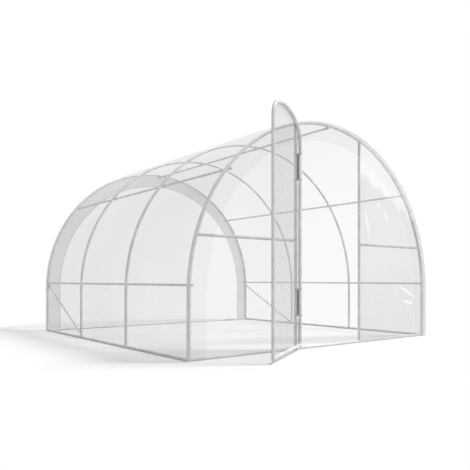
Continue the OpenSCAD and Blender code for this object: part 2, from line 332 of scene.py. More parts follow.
def film(name):
    """Clear film: alpha is 1 - (1 - haze) ** (1 / cosine), and more on white hems and painted highlights."""
    recipe = Recipe(name)
    slant = recipe.tree.nodes.new("ShaderNodeLayerWeight")
    slant.inputs["Blend"].default_value = 0.5
    cosine = recipe.math("MAXIMUM", recipe.math("SUBTRACT", 1.0, slant.outputs["Facing"]), LOWEST_COSINE)
    way = recipe.math("DIVIDE", 1.0, cosine)
    least, most = (1.0 - HAZE_RANGE) * LAYER_HAZE, (1.0 + HAZE_RANGE) * LAYER_HAZE
    cloud = recipe.between(recipe.noise(HAZE_CLOUDS, 4.0), least, most)
    haze = recipe.math("MINIMUM", recipe.math("MULTIPLY", cloud, recipe.layer("layers")), MOST_HAZE)
    clear = recipe.math("POWER", recipe.math("SUBTRACT", 1.0, haze), way)
    hem = recipe.layer("hem")
    # shine is a painted highlight: where it is high the film turns white, opaque and mirror-like
    shine = recipe.layer("shine")
    hidden = recipe.math("ADD", recipe.math("SUBTRACT", 1.0, clear), recipe.math("MULTIPLY", hem, HEM_HAZE))
    white = recipe.math("MAXIMUM", hem, shine)
    recipe.set(
        Base_Color=recipe.ramp(white, WHITE_FROM, WHITE_TO, FILM_GREY, HEM_WHITE),
        Metallic=recipe.math("MULTIPLY", shine, SHINE_RISE, clamp=True),
        Alpha=recipe.math("MINIMUM", recipe.math("MAXIMUM", hidden, shine), 1.0),
        Roughness=recipe.between(recipe.noise(GLOSS_CLOUDS), GLOSS_LOW, GLOSS_HIGH),
    )
    return recipe.material


clear_film = film("clear_film")
print("film: haze of one layer", LAYER_HAZE)

# %% [markdown]
# ## The camera and the light
# The photograph is taken from eye level low in front of the left corner, with a level camera whose frame is
# raised, so upright tubes stay upright. A sun through thin cloud stands to the right and in front: it lights
# the right side of each tube and leaves its left side as a darker line. A white world fills in. The floor
# shows white and keeps the soft shadow, but throws back less light, so that tubes stay darker underneath.

# %% Camera
CAMERA_AT = (-3.6661, -4.812, 0.6038)
CAMERA_TURN = 38.16
LENS_MM = 41.11
SENSOR_MM = 36.0
FRAME_RISE = 0.0948

camera_data = bpy.data.cameras.new("camera")
camera_data.lens = LENS_MM
camera_data.sensor_width = SENSOR_MM
camera_data.shift_y = FRAME_RISE
camera = bpy.data.objects.new("camera", camera_data)
camera.location = CAMERA_AT
camera.rotation_euler = (math.radians(90.0), 0.0, math.radians(-CAMERA_TURN))
bpy.context.scene.collection.objects.link(camera)
bpy.context.scene.camera = camera
bpy.context.scene.view_settings.view_transform = "Standard"
print("camera at", CAMERA_AT)

# %% Sun, world and floor
SUN_STRENGTH = 1.85
SUN_SOFTNESS = 14.0
SUN_HEIGHT = 54.0
SUN_BEARING = -36.0
SKY_LEVEL = 0.53
FLOOR_SIDE = 60.0
FLOOR_ROUGH = 0.9
FLOOR_SHINE = 0.08
FLOOR_SEEN = 0.92
FLOOR_BOUNCE = 0.66


def own_white(tree):
    """1 for rays that show the background: from the camera, off gloss or through glass."""
    path = tree.nodes.new("ShaderNodeLightPath")
    shown = path.outputs["Is Camera Ray"]
    for kind in ("Is Glossy Ray", "Is Transmission Ray"):
        either = tree.nodes.new("ShaderNodeMath")
        either.operation = "MAXIMUM"
        tree.links.new(shown, either.inputs[0])
        tree.links.new(path.outputs[kind], either.inputs[1])
        shown = either.outputs["Value"]
    return shown


sun_data = bpy.data.lights.new("sun", "SUN")
sun_data.energy = SUN_STRENGTH
sun_data.angle = math.radians(SUN_SOFTNESS)
sun = bpy.data.objects.new("sun", sun_data)
sun.rotation_euler = (0.0, math.radians(90.0 - SUN_HEIGHT), math.radians(SUN_BEARING))
bpy.context.scene.collection.objects.link(sun)

world = bpy.data.worlds.new("sky")
world.use_nodes = True
bpy.context.scene.world = world
sky = world.node_tree.nodes["Background"]
level = world.node_tree.nodes.new("ShaderNodeMapRange")
level.inputs["To Min"].default_value = SKY_LEVEL
world.node_tree.links.new(own_white(world.node_tree), level.inputs["Value"])
world.node_tree.links.new(level.outputs["Result"], sky.inputs["Strength"])
sky.inputs["Color"].default_value = (1.0, 1.0, 1.0, 1.0)

floor_white = bpy.data.materials.new("floor_white")
floor_white.use_nodes = True
floor_tree = floor_white.node_tree
floor_shader = floor_tree.nodes["Principled BSDF"]
floor_shader.inputs["Roughness"].default_value = FLOOR_ROUGH
floor_shader.inputs["Specular IOR Level"].default_value = 0.0
floor_shader.inputs["Emission Color"].default_value = (1.0, 1.0, 1.0, 1.0)
tone = floor_tree.nodes.new("ShaderNodeMapRange")
tone.inputs["To Min"].default_value = FLOOR_BOUNCE
tone.inputs["To Max"].default_value = FLOOR_SEEN
floor_tree.links.new(own_white(floor_tree), tone.inputs["Value"])
floor_tree.links.new(tone.outputs["Result"], floor_shader.inputs["Base Color"])
glow = floor_tree.nodes.new("ShaderNodeMath")
glow.operation = "MULTIPLY"
glow.inputs[1].default_value = FLOOR_SHINE
floor_tree.links.new(own_white(floor_tree), glow.inputs[0])
floor_tree.links.new(glow.outputs["Value"], floor_shader.inputs["Emission Strength"])

corner = np.array([-FLOOR_SIDE / 2, FLOOR_SIDE / 2])
floor_points = np.stack(np.broadcast_arrays(corner[None, :], corner[:, None], np.zeros((2, 2))), axis=-1)
floor_mesh = bpy.data.meshes.new("floor")
floor_mesh.from_pydata(floor_points.reshape(-1, 3).tolist(), [], [(0, 1, 3, 2)])
floor_mesh.materials.append(floor_white)
floor = bpy.data.objects.new("floor", floor_mesh)
bpy.context.scene.collection.objects.link(floor)
print("light: one soft sun, a white world and a floor of", FLOOR_SIDE, "m")

# %% [markdown]
# ## Folds in film
# Film that is pulled over hoops never lies quite flat: it swells a little between its supports and has soft
# folds that run from where it is held. A simulation would cost minutes for folds a few millimetres deep, so
# each fold is a line from one point of the flat sheet to another, and the film rises along it as a bell
# curve that fades out to both ends. The sum over all lines is one array expression.

# %% Fold lines
# Spread of the lean in degrees, and the least shares of a fold's length and width
LEAN_SPREAD = 24.0
SHORTEST = 0.4
NARROWEST = 0.5


def fold_height(across, along, starts, ends, widths):
    """Sum of bell curves: exp(-(distance to the line / width) ** 2) times a sine that fades to both ends."""
    run = ends - starts
    length = np.linalg.norm(run, axis=1)[:, None, None]
    run_a, run_b = run[:, 0, None, None] / length, run[:, 1, None, None] / length
    offset_a = across[None] - starts[:, 0, None, None]
    offset_b = along[None] - starts[:, 1, None, None]
    way = (offset_a * run_a + offset_b * run_b) / length
    aside = offset_a * run_b - offset_b * run_a
    fade = np.sin(np.pi * np.clip(way, 0.0, 1.0))
    return (fade * np.exp(-((aside / widths[:, None, None]) ** 2))).sum(axis=0)


def scattered_folds(seed, count, low, high, lean, length, width):
    """Start points, end points and widths of count lines spread over a box, leaning about an angle."""
    draw = np.random.default_rng(seed)
    starts = draw.uniform(low, high, (count, 2))
    angles = np.radians(draw.normal(lean, LEAN_SPREAD, count))
    reach = draw.uniform(SHORTEST, 1.0, count) * length
    ends = starts + reach[:, None] * np.stack([np.cos(angles), np.sin(angles)], axis=1)
    return starts, ends, draw.uniform(NARROWEST, 1.0, count) * width


def smooth(value):
    """0 to 1 with level ends: 3 v^2 - 2 v^3."""
    value = np.clip(value, 0.0, 1.0)
    return value * value * (3.0 - 2.0 * value)


# %% [markdown]
# ## The cover
# The cover is one sheet laid over the hoops from foot to foot. At both ends it stands out past the end hoop,
# is folded back to the hoop in a narrow white hem, and then lies as a margin on the end wall. It could be a
# grid draped by cloth simulation; here its section from margin to margin is carried along the outline of a
# hoop, because both are known exactly. Between the hoops the sheet swells out in a shallow parabola, most
# of all over the roof, where warm air lifts it.

# %% Section of the cover
HEM_R = 0.007
# Rows of points over the hem's half turn, its way back, the quarter turn, the margin and the roof
HEM_ROWS = 13
BACK_ROWS = 4
TURN_ROWS = 7
MARGIN_ROWS = 18
ROOF_ROWS = 151
MARGIN_PLANE = abs(MARGIN_Y)
LEG_L = SPRING_Z - FILM_Z0
cover_length = 2.0 * LEG_L + np.pi * COVER_R


def end_section():
    """Distance inward and y at the back end: a half turn, a short way back, a quarter turn, the margin."""
    half = np.linspace(0.0, np.pi, HEM_ROWS)
    quarter = np.linspace(0.0, np.pi / 2, TURN_ROWS)
    back_y = np.linspace(COVER_END - HEM_R, MARGIN_PLANE + HEM_R, BACK_ROWS)[1:-1]
    margin_in = np.linspace(3.0 * HEM_R, MARGIN_W, MARGIN_ROWS)[1:]
    inward = [HEM_R * (1.0 - np.cos(half)), np.full(len(back_y), 2.0 * HEM_R)]
    inward += [HEM_R * (3.0 - np.cos(quarter)), margin_in]
    along = [COVER_END - HEM_R + HEM_R * np.sin(half), back_y]
    along += [MARGIN_PLANE + HEM_R - HEM_R * np.sin(quarter), np.full(len(margin_in), MARGIN_PLANE)]
    return np.concatenate(inward), np.concatenate(along)


def hoop_outline(share, radius):
    """x and z from the left foot to the right one: up a leg, over a half circle, down a leg."""
    way = share * cover_length
    angle = np.clip((way - LEG_L) / COVER_R, 0.0, np.pi)
    drop = np.clip(LEG_L - way, 0.0, None) + np.clip(way - LEG_L - np.pi * COVER_R, 0.0, None)
    return -radius * np.cos(angle), SPRING_Z + radius * np.sin(angle) - drop


roof_y = np.linspace(-COVER_END + HEM_R, COVER_END - HEM_R, ROOF_ROWS)[1:-1]
end_in, end_y = end_section()
section_in = np.concatenate([end_in[::-1], np.zeros(len(roof_y)), end_in])
section_y = np.concatenate([-end_y[::-1], roof_y, end_y])
section_way = np.concatenate([[0.0], np.cumsum(np.hypot(np.diff(section_in), np.diff(section_y)))])
print(f"cover cut: {cover_length:.2f} x {section_way[-1]:.2f} m")

# %% [markdown]
# Film reads by how much of it the eye looks through, so each point keeps a number of layers: the shaded left
# wall has a little more than one as painted shade, and the roof and the sunny right side have fewer as
# painted light where the sun falls on them. The margin at the back lies in folds and is thickest along its
# edge. The one at the front is clearer, and to the right of the doorway it is thinned further as a painted
# glare. Tight over the right leg, film is as white as a hem.

# %% Cover
COVER_COLUMNS = 281
# Swell over the roof in metres, its share at the feet, and the share of the outline over which it grows
BAY_SWELL = 0.012
LEG_SWELL = 0.15
SWELL_SHARE = 0.16
# Depth of the folds, how far from the film's edges they start, and the share of a bay that a hoop holds flat
FOLD_DEPTH = 0.003
FOLD_IN = 0.15
HOOP_HOLD = 0.12
# Layers of film, with the place where a level starts to change and the way it takes to do so
# Painted shade on the shaded left wall, and painted light on the roof and the sunny right side
SHADY_LAYERS = 1.25
ROOF_LAYERS = 0.72
SUNNY_LAYERS = 0.55
ROOF_FROM_Z, ROOF_FADE = 1.45, 0.3
SUNNY_FROM_X, SUNNY_FADE = -0.4, 0.7
BACK_MARGIN_LAYERS = 3.1
MARGIN_EDGE_W = 0.012
MARGIN_EDGE_LAYERS = 1.2
MARGIN_EDGE_FADE = 0.004
MARGIN_FADE = 0.01
FRONT_MARGIN_LAYERS = 0.75
# Painted glare: film to the right of the doorway is thinned to this level
GLARE_LAYERS = 0.25
DOORWAY_FADE = 0.05
HEM_LAYERS = 1.1
LEG_HEM = 1.7
LEG_HEM_W = 3.2 * TUBE_R
LEG_HEM_FADE = 0.4
EDGE_HEM = 0.4

share, way_y = np.meshgrid(np.linspace(0.0, 1.0, COVER_COLUMNS), section_way, indexing="ij")
inward = np.broadcast_to(section_in, share.shape)
y = np.broadcast_to(section_y, share.shape)
bay = np.interp(y, HOOP_Y, np.arange(len(HOOP_Y)))
part = bay - np.floor(bay)
over_hoops = np.abs(y) < HOOP_Y[-1]
arch_share = smooth(np.minimum(share, 1.0 - share) / SWELL_SHARE)
bulge = np.where(over_hoops, 4.0 * part * (1.0 - part), 0.0)
swell = bulge * BAY_SWELL * (LEG_SWELL + (1.0 - LEG_SWELL) * arch_share)
lines = scattered_folds(
    seed=3, count=16, low=(0.0, FOLD_IN), high=(cover_length, section_way[-1] - FOLD_IN),
    lean=80.0, length=0.7, width=0.03,
)
hold_off = np.where(over_hoops, smooth(np.minimum(part, 1.0 - part) / HOOP_HOLD), 0.0)
folds = fold_height(share * cover_length, way_y, *lines) * hold_off
x, z = hoop_outline(share, COVER_R - inward + swell - FOLD_DEPTH * folds)

past_hoop = smooth((np.abs(y) - HOOP_Y[-1] - TUBE_R / 2) / TUBE_R)
hem = past_hoop * (1.0 - smooth((inward - 2.5 * HEM_R) / HEM_R))
on_margin = smooth((inward - 3.0 * HEM_R) / MARGIN_FADE)
# To the right of the doorway the front margin is thinned as a painted glare
beside_door = smooth((x - POST_XS[1]) / DOORWAY_FADE)
front_level = FRONT_MARGIN_LAYERS + (GLARE_LAYERS - FRONT_MARGIN_LAYERS) * beside_door
margin_edge = smooth((inward - MARGIN_W + MARGIN_EDGE_W) / MARGIN_EDGE_FADE)
margin_level = np.where(y < 0.0, front_level, BACK_MARGIN_LAYERS + MARGIN_EDGE_LAYERS * margin_edge)
# Painted shade low on the left, painted light over the roof and towards the sunny right
shady_level = SHADY_LAYERS + (ROOF_LAYERS - SHADY_LAYERS) * smooth((z - ROOF_FROM_Z) / ROOF_FADE)
roof_level = shady_level + (SUNNY_LAYERS - shady_level) * smooth((x - SUNNY_FROM_X) / SUNNY_FADE)
layers = roof_level + (HEM_LAYERS - roof_level) * hem
layers = layers + (margin_level - layers) * on_margin
over_leg = on_margin * (1.0 - smooth((inward - LEG_HEM_W) / MARGIN_FADE))
over_leg = over_leg * (1.0 - smooth((z - SPRING_Z) / LEG_HEM_FADE)) * beside_door * (y < 0.0)

cover = mesh_piece(
    "film_cover", np.stack([x, y, z], axis=-1), [grid_faces(*share.shape)], "tunnel", clear_film, "film",
    layers=layers, hem=EDGE_HEM * hem + LEG_HEM * over_leg, shine=np.zeros(y.shape),
)
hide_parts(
    "cover_left_wall", "cover_left_shoulder", "cover_left_crown", "cover_right_crown",
    "cover_right_shoulder", "cover_right_wall", "front_margin", "back_margin",
)

# %% [markdown]
# ## The end walls
# Each end is closed by flat film: one sheet across the back, and one on each side of the doorway, which goes
# round its door post as a pocket. A column of points runs from the ground to the arch, and the columns are
# spaced by angle round the arch so that they stay even where it drops steeply. Folds bend the film inward
# only where no tube stands behind it. A glint is a painted highlight: a short stroke along a crease where the
# film is made white, opaque and mirror-like. The glare is a fainter painted highlight over the upper right
# corner above a slanting line, where the film is also made thinner.

# %% End walls
WALL_BELLY = 0.004
WALL_FOLD = 0.004
WALL_FREE_W = 0.09
WALL_ROWS = 120
POCKET_COLUMNS = 10
# Whiter film over the base rail: film wrapped on the rail, and a painted highlight for the rail's lit top
FOOT_HEM_AND_HIGHLIGHT = 0.5
FOOT_FADE = 0.01
base_z = middle("front_base_rail")[2]
rail_ends = PURLINS + SIDE_RAILS


def end_wall(first, last, columns):
    """x and z of columns under the arch: x = R cos a, and z from the film's edge up to the arch at a."""
    angle = np.linspace(first, last, columns)[:, None]
    rise = np.linspace(0.0, 1.0, WALL_ROWS)[None, :]
    top = SPRING_Z + OUTER_R * np.sin(angle)
    x = np.broadcast_to(OUTER_R * np.cos(angle), (columns, WALL_ROWS))
    return x, FILM_Z0 + (top - FILM_Z0) * rise


def clear_of_tubes(x, z, uprights, levels):
    """0 at the hoop, uprights, levels and rail ends, rising to 1 a hand's width away from all of them."""
    hoop = HOOP_R - np.where(z > SPRING_Z, np.hypot(x, z - SPRING_Z), np.abs(x))
    gaps = [hoop] + [np.abs(x - at) for at in uprights] + [np.abs(z - at) for at in levels]
    gaps += [np.hypot(x - at[0], z - at[1]) - TUBE_R for at in rail_ends]
    return smooth((np.min(gaps, axis=0) - TUBE_R) / WALL_FREE_W)


def post_pocket(post_x, toward_door, plane_y, column_z):
    """Film from the wall's plane round the doorway side of a post: a half circle, cut off below the hoop."""
    turn = np.linspace(0.0, np.pi, POCKET_COLUMNS + 1)[1:, None]
    pocket_r = HOOP_Y[0] - plane_y
    top = SPRING_Z + math.sqrt(HOOP_R**2 - post_x**2) - 2.0 * TUBE_R
    z = np.broadcast_to(np.minimum(column_z, top), (len(turn), len(column_z)))
    x = np.broadcast_to(post_x + toward_door * pocket_r * np.sin(turn), z.shape)
    return x, np.broadcast_to(HOOP_Y[0] - pocket_r * np.cos(turn), z.shape), z


def wall_film(name, node, x, y, z, layers, shine, flip):
    """The mesh of one end film with its layers, in place of its node."""
    faces = grid_faces(*x.shape)
    # The foot of each end film is whitened as a painted highlight on the base rail
    piece = mesh_piece(
        name, np.stack([x, y, z], axis=-1), [faces[:, ::-1] if flip else faces], "tunnel", clear_film, "film",
        layers=layers, hem=FOOT_HEM_AND_HIGHLIGHT * (1.0 - smooth((z - base_z - TUBE_R) / FOOT_FADE)), shine=shine,
    )
    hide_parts(node)


# %% Front films
FRONT_COLUMNS = 90
FRONT_LAYERS = {"left": 0.75, "right": 1.35}
POCKET_LAYERS = 0.5
LOW_LAYERS = 0.35
LOW_FROM_Z, LOW_FADE = 0.9, 0.4
FOLD_REACH = {"left": (-1.4, -0.5), "right": (0.5, 1.4)}
FOLD_LEAN = {"left": 40.0, "right": -42.0}
# Painted highlights: each row is a stroke from x, z to x, z on the front films
GLINTS = np.array([
    [0.71, 1.37, 0.77, 1.30], [1.05, 0.55, 1.38, 0.41], [1.13, 0.385, 1.35, 0.352], [0.82, 1.30, 0.90, 1.18],
    [0.52, 1.30, 0.60, 1.02], [-1.09, 1.52, -0.98, 1.46], [-1.05, 1.45, -0.99, 1.40],
])
GLINT_WIDTH = 0.010
GLINT_SHINE = 0.95
# The glare is a fainter painted highlight above the line from GLARE_FROM to GLARE_TO
GLARE_SHINE = 0.5
GLARE_FROM = np.array([0.486, 1.615])
GLARE_TO = np.array([0.944, 1.405])
GLARE_FADE = 0.08
GLARE_WAVE_H, GLARE_WAVES = 0.02, 31.0
front_levels = (CROSSBAR_Z, base_z)
slope = (GLARE_TO - GLARE_FROM)[1] / (GLARE_TO - GLARE_FROM)[0]

for place, post_x in zip(("left", "right"), POST_XS):
    right = place == "right"
    post_angle = math.acos(post_x / OUTER_R)
    first, last = (0.0, post_angle) if right else (math.pi, post_angle)
    x, z = end_wall(first, last, FRONT_COLUMNS)
    free = clear_of_tubes(x, z, POST_XS, front_levels)
    fold_low, fold_high = FOLD_REACH[place]
    lines = scattered_folds(
        seed=11, count=7, low=(fold_low, FOLD_IN), high=(fold_high, 1.6),
        lean=FOLD_LEAN[place], length=0.5, width=0.02,
    )
    plane_y = middle(f"front_{place}_film")[1]
    glint = fold_height(x, z, GLINTS[:, :2], GLINTS[:, 2:], np.full(len(GLINTS), GLINT_WIDTH))
    y = plane_y + free * (WALL_BELLY + WALL_FOLD * (fold_height(x, z, *lines) + glint))
    # Above the slanting line the right film is thinned and made mirror-like as a painted glare
    above = z - GLARE_FROM[1] - slope * (x - GLARE_FROM[0]) + GLARE_WAVE_H * np.sin(GLARE_WAVES * x)
    glare = smooth(above / GLARE_FADE + 0.5) * right
    layers = FRONT_LAYERS[place] + LOW_LAYERS * smooth((LOW_FROM_Z - z) / LOW_FADE) * right
    layers = layers + (GLARE_LAYERS - layers) * glare
    shine = np.maximum(GLARE_SHINE * glare, GLINT_SHINE * np.clip(glint, 0.0, 1.0))
    pocket = post_pocket(post_x, -1.0 if right else 1.0, plane_y, z[-1])
    x, y, z = (np.vstack(pair) for pair in zip((x, y, z), pocket))
    layers = np.vstack([layers, np.full(pocket[0].shape, POCKET_LAYERS)])
    shine = np.vstack([shine, np.zeros(pocket[0].shape)])
    wall_film(f"film_front_{place}", f"front_{place}_film", x, y, z, layers, shine, right)

# %% Back film
BACK_LAYERS = 0.55
BACK_COLUMNS = 200

x, z = end_wall(math.pi, 0.0, BACK_COLUMNS)
free = clear_of_tubes(x, z, (), (base_z,))
lines = scattered_folds(
    seed=8, count=9, low=(-1.4, FOLD_IN), high=(1.4, 1.7), lean=75.0, length=0.6, width=0.03,
)
y = middle("back_film")[1] - free * (WALL_BELLY + WALL_FOLD * fold_height(x, z, *lines))
back_layers, no_shine = np.full(x.shape, BACK_LAYERS), np.zeros(x.shape)
wall_film("film_back", "back_film", x, y, z, back_layers, no_shine, True)

# %% [markdown]
# ## The door's film
# The leaf is a bent tube with film on its outer face. Along its edges the film goes round the outside of the
# tube as a pocket and is welded back on itself in a flap as wide as a hand, so the tube shows bare only on
# its inner side. Round the outside the pocket is whiter, partly as folded film and partly as a painted
# highlight on the tube's lit side, and where it leaves the film it is darker, partly a seam and partly painted
# shade along the tube's inner edge. The door's film is darker than the walls and counts as nearly two layers.
# The leaf stands open in the frame, so its film is drawn on the closed leaf, with x from the hinge axis, and
# then turned to the leaf. Beside the hinges it is cut out to leave them free.

# %% Shape of the leaf
hinge_at = np.array(frame["joints"][0]["pos_m"]) * (1.0, 1.0, 0.0)
leaf_across = (middle("door_free_stile") - hinge_at) * (1.0, 1.0, 0.0)
LEAF_W = np.linalg.norm(leaf_across)
leaf_across = leaf_across / LEAF_W
leaf_inward = np.array([-leaf_across[1], leaf_across[0], 0.0])
LEAF_R = np.ptp(low_high("door_free_stile"), axis=0)[0] / 2
film_offset = (corners("door_film") - hinge_at) @ leaf_inward
LEAF_FILM_Y = (film_offset.min() + film_offset.max()) / 2
BEND_Z = low_high("door_free_stile")[1][2]
LEAF_Z0 = low_high("door_free_stile")[0][2]
RAIL_Z = middle("door_bottom_rail")[2]
head_top = low_high("door_head")[1][2] - LEAF_R
head_x = (corners("door_head") - hinge_at) @ leaf_across - LEAF_W / 2
head_end = np.argmax(head_x)
head_sink = head_top + LEAF_R - corners("door_head")[head_end, 2]
HEAD_R = (head_x[head_end] ** 2 + head_sink**2) / (2.0 * head_sink) - LEAF_R
HEAD_Z = head_top - HEAD_R
CORNER_R = (HEAD_R**2 - (LEAF_W / 2) ** 2 - (BEND_Z - HEAD_Z) ** 2) / (2.0 * HEAD_R - LEAF_W)
print(f"leaf {LEAF_W:.3f} m wide, head radius {HEAD_R:.3f} m, corner radius {CORNER_R:.3f} m")


def on_leaf(x, y, z):
    """Points of the closed leaf, x from the hinge axis and y to its inner face, turned to where it stands."""
    spot = np.stack(np.broadcast_arrays(x, y, z), axis=-1)
    return hinge_at + spot @ np.array([leaf_across, leaf_inward, (0.0, 0.0, 1.0)])


def leaf_top(x):
    """Height of the leaf's head above x: the round corner near a stile, the arched head between them."""
    aside = np.abs(x - LEAF_W / 2)
    head = HEAD_Z + np.sqrt(HEAD_R**2 - aside**2)
    into_corner = np.clip(aside - (LEAF_W / 2 - CORNER_R), 0.0, CORNER_R)
    corner = BEND_Z + np.sqrt(CORNER_R**2 - into_corner**2)
    turn = (LEAF_W / 2 - CORNER_R) * HEAD_R / (HEAD_R - CORNER_R)
    return np.where(aside > turn, corner, head)


# %% Door film
# Nearly two layers make the door's film darker than the walls
DOOR_LAYERS = 1.8
DOOR_BELLY = 0.003
DOOR_FOLD = 0.003
DOOR_FREE_W = 0.08
DOOR_COLUMNS = 80
DOOR_ROWS = 241
HINGE_ROOM = 0.012
NOTCH_W = 0.024

rise = np.linspace(0.0, 1.0, DOOR_ROWS)[None, :]
leaf_x = LEAF_W * (1.0 - np.cos(np.linspace(0.0, np.pi, DOOR_COLUMNS)[:, None])) / 2.0
leaf_z = RAIL_Z + (leaf_top(leaf_x) - RAIL_Z) * rise
in_hinge = [(leaf_z > low - HINGE_ROOM) & (leaf_z < high + HINGE_ROOM) for low, high in HINGE_ZS]
notch = NOTCH_W * np.any(in_hinge, axis=0)
leaf_x = notch + leaf_x * (1.0 - notch / LEAF_W)
edges = (leaf_x, LEAF_W - leaf_x, leaf_z - RAIL_Z, leaf_top(leaf_x) - leaf_z)
free = smooth((np.min(edges, axis=0) - LEAF_R) / DOOR_FREE_W)
lines = scattered_folds(
    seed=21, count=5, low=(FOLD_IN, 0.2), high=(0.7, 1.5), lean=84.0, length=0.8, width=0.03,
)
folds = fold_height(leaf_x, leaf_z, *lines)
leaf_y = LEAF_FILM_Y - np.sign(LEAF_FILM_Y) * free * (DOOR_BELLY + DOOR_FOLD * folds)
door_film = mesh_piece(
    "film_door", on_leaf(leaf_x, leaf_y, leaf_z), [grid_faces(*leaf_z.shape)], "door", clear_film, "film",
    layers=np.full(leaf_z.shape, DOOR_LAYERS), hem=np.zeros(leaf_z.shape), shine=np.zeros(leaf_z.shape),
)
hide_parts("door_film")

# %% Door pockets
FLAP_W = 0.075
FLAP_HEM = 0.05
FLAP_LAYERS = 0.3
# Whiter round the pocket's outside: folded film, and a painted highlight on the tube's lit side
POCKET_HEM_AND_HIGHLIGHT = 0.36
# More layers where the pocket leaves the film: a seam, and painted shade on the tube's inner edge
SEAM_AND_SHADE_LAYERS = 4.0
SEAM_AND_SHADE_TURN = np.pi / 3
POCKET_TURN = 1.15 * np.pi
POCKET_OFF = 0.0006
TURN_STEPS, FLAP_STEPS = 17, 5
CORNER_STEPS, HEAD_STEPS, STILE_STEPS = 14, 60, 180

pocket_r = abs(LEAF_FILM_Y) + POCKET_OFF
turn_low = math.atan2(BEND_Z - HEAD_Z, LEAF_W / 2 - CORNER_R)


def leaf_frame_path():
    """Points and inward directions up the free stile, round the corner, over the head and down again."""
    corner_turn = np.linspace(0.0, turn_low, CORNER_STEPS)
    head_turn = np.linspace(turn_low, np.pi - turn_low, HEAD_STEPS)[1:-1]
    up = np.linspace(LEAF_Z0, BEND_Z, STILE_STEPS)[:-1]
    free_x = LEAF_W - CORNER_R + CORNER_R * np.cos(corner_turn)
    corner_z = BEND_Z + CORNER_R * np.sin(corner_turn)
    path_x = [np.full(len(up), LEAF_W), free_x, LEAF_W / 2 + HEAD_R * np.cos(head_turn)]
    path_x += [LEAF_W - free_x[::-1], np.zeros(len(up))]
    path_z = [up, corner_z, HEAD_Z + HEAD_R * np.sin(head_turn), corner_z[::-1], up[::-1]]
    angle = np.concatenate([np.zeros(len(up)), corner_turn, head_turn, np.pi - corner_turn[::-1]])
    angle = np.concatenate([angle, np.full(len(up), np.pi)])
    return np.concatenate(path_x), np.concatenate(path_z), -np.cos(angle), -np.sin(angle)


def door_pocket(name, kept):
    """A flap and a half circle round the tube, carried along the kept part of the leaf's path."""
    path_x, path_z, in_x, in_z = (values[kept, None] for values in leaf_path)
    turn = np.linspace(0.0, POCKET_TURN, TURN_STEPS)
    flap = np.linspace(FLAP_W, 0.0, FLAP_STEPS + 1)[:-1]
    inward = np.concatenate([flap, -pocket_r * np.sin(turn)])[None, :]
    around = np.concatenate([np.zeros(FLAP_STEPS), turn])[None, :]
    aside = np.sign(LEAF_FILM_Y) * pocket_r * np.cos(around)
    points = on_leaf(path_x + in_x * inward, aside, path_z + in_z * inward)
    # The seam band carries the painted shade along the tube's inner edge
    on_seam_and_shade = (inward <= LEAF_R) & (around < SEAM_AND_SHADE_TURN)
    hem = FLAP_HEM + (POCKET_HEM_AND_HIGHLIGHT - FLAP_HEM) * smooth(2.0 * around / np.pi)
    hem = np.broadcast_to(hem, points.shape[:2])
    layers = np.broadcast_to(np.where(on_seam_and_shade, SEAM_AND_SHADE_LAYERS, FLAP_LAYERS), points.shape[:2])
    return mesh_piece(
        name, points, [grid_faces(*points.shape[:2])], "door", clear_film, "film",
        layers=layers, hem=hem, shine=np.zeros(points.shape[:2]),
    )


leaf_path = leaf_frame_path()
down_hinge_side = leaf_path[0] < LEAF_W / 2
lower, upper = HINGE_ZS
hinge_bounds = [upper[1] + HINGE_ROOM, upper[0] - HINGE_ROOM, lower[1] + HINGE_ROOM, lower[0] - HINGE_ROOM]
pockets = [
    door_pocket("film_door_pocket", ~down_hinge_side | (leaf_path[1] > hinge_bounds[0])),
    door_pocket(
        "film_door_pocket_middle",
        down_hinge_side & (leaf_path[1] < hinge_bounds[1]) & (leaf_path[1] > hinge_bounds[2]),
    ),
    door_pocket("film_door_pocket_low", down_hinge_side & (leaf_path[1] < hinge_bounds[3])),
]

# %% [markdown]
# ## Small fittings
# Bolts, caps and screws are turned shapes: a profile of radius and height carried round an axis, with six
# sides for a bolt head and more for a round one. A mesh primitive would do for one, but the same few points
# are needed dozens of times, so one array of points is moved and turned to every place at once.

# %% Turned shapes and copies


def turned(profile, sides):
    """Points of (radius, height) pairs carried round the z axis, with its walls and its two flat ends."""
    radius, height = np.array(profile).T[:, :, None]
    angle = np.linspace(0.0, 2.0 * np.pi, sides, endpoint=False)
    points = np.stack(np.broadcast_arrays(radius * np.cos(angle), radius * np.sin(angle), height), axis=-1)
    ends = np.stack([np.arange(sides), np.arange(sides) + (len(profile) - 1) * sides])
    return points.reshape(-1, 3), [grid_faces(len(profile), sides, round_columns=True), ends]


def copies(shape, spots, axes):
    """All copies of a turned shape: its z axis along each axis, its foot at each spot."""
    points, blocks = shape
    axes = np.asarray(axes, dtype=float)
    helper = np.where(np.abs(axes[:, 2:]) > 0.9, (1.0, 0.0, 0.0), (0.0, 0.0, 1.0))
    side = np.cross(helper, axes)
    side = side / np.linalg.norm(side, axis=1)[:, None]
    basis = np.stack([side, np.cross(axes, side), axes], axis=1)
    placed = np.asarray(spots)[:, None, :] + np.einsum("pi,cij->cpj", points, basis)
    offset = np.arange(len(axes))[:, None, None] * len(points)
    return placed, [(offset + block[None]).reshape(-1, block.shape[1]) for block in blocks]


def fitted(name, shape, spots, axes, body, material, slot):
    """One piece that holds every copy of a small fitting."""
    points, blocks = copies(shape, spots, axes)
    return mesh_piece(name, points, blocks, body, material, slot, solid=True)


washer = turned([(0.0056, -0.0016), (0.0056, 0.0002)], 20)
hex_head = turned([(0.0046, 0.0), (0.0046, 0.003), (0.0036, 0.0036)], 6)
round_screw = turned([(0.0042, -0.001), (0.0042, 0.0004), (0.0034, 0.0016), (0.0014, 0.0022)], 16)

# %% [markdown]
# Each clamp is pinched on its rail by a bolt from below, and each brace is bolted through its flattened
# ends. Screws hold the coped ends of the posts and crossbars, and the post collars of the hinges.

